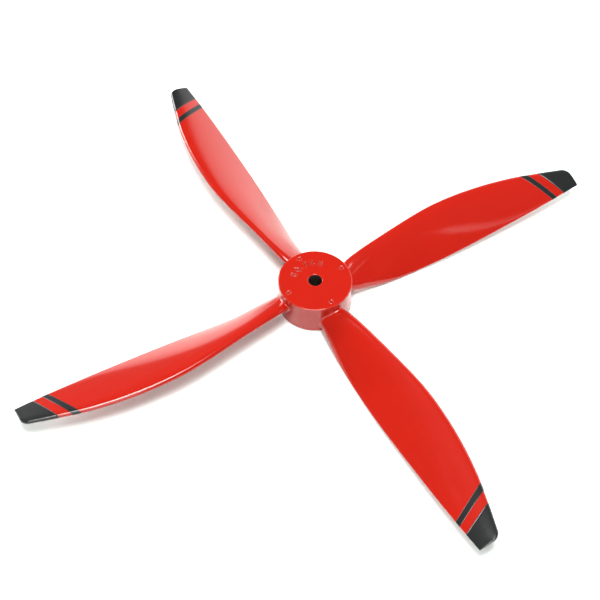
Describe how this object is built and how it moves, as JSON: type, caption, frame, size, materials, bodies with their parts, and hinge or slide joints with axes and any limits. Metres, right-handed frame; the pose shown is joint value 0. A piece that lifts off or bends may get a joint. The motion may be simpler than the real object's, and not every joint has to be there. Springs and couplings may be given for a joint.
{
  "type": "four-blade wooden propeller",
  "caption": "Fixed-pitch tractor propeller of laminated wood with a round hub, a plain shaft bore and painted blades with dark tips.",
  "frame": {"origin": "centre of the hub's rear face, on the shaft axis", "axes": "+Z along the shaft axis out of the front face of the hub; blades point along +X, +Y, -X and -Y; seen from the front the propeller turns counter-clockwise"},
  "size_m": [0.3682, 0.3682, 0.0204],
  "materials": {
    "red_lacquer": "gloss",
    "dowel_wood": "gloss",
    "charcoal_paint": "satin"
  },
  "bodies": {
    "root": {"layer_1_long_board": "red_lacquer", "layer_1_half_board_blade_2": "red_lacquer", "layer_1_half_board_blade_4": "red_lacquer", "layer_2_long_board": "red_lacquer", "layer_2_half_board_blade_1": "red_lacquer", "layer_2_half_board_blade_3": "red_lacquer", "layer_3_long_board": "red_lacquer", "layer_3_half_board_blade_2": "red_lacquer", "layer_3_half_board_blade_4": "red_lacquer", "layer_4_long_board": "red_lacquer", "layer_4_half_board_blade_1": "red_lacquer", "layer_4_half_board_blade_3": "red_lacquer", "layer_5_long_board": "red_lacquer", "layer_5_half_board_blade_2": "red_lacquer", "layer_5_half_board_blade_4": "red_lacquer", "hub_front_disc": "red_lacquer", "hub_dowel_1": "dowel_wood", "hub_dowel_2": "dowel_wood", "hub_dowel_3": "dowel_wood", "hub_dowel_4": "dowel_wood"}
  },
  "joints": []
}
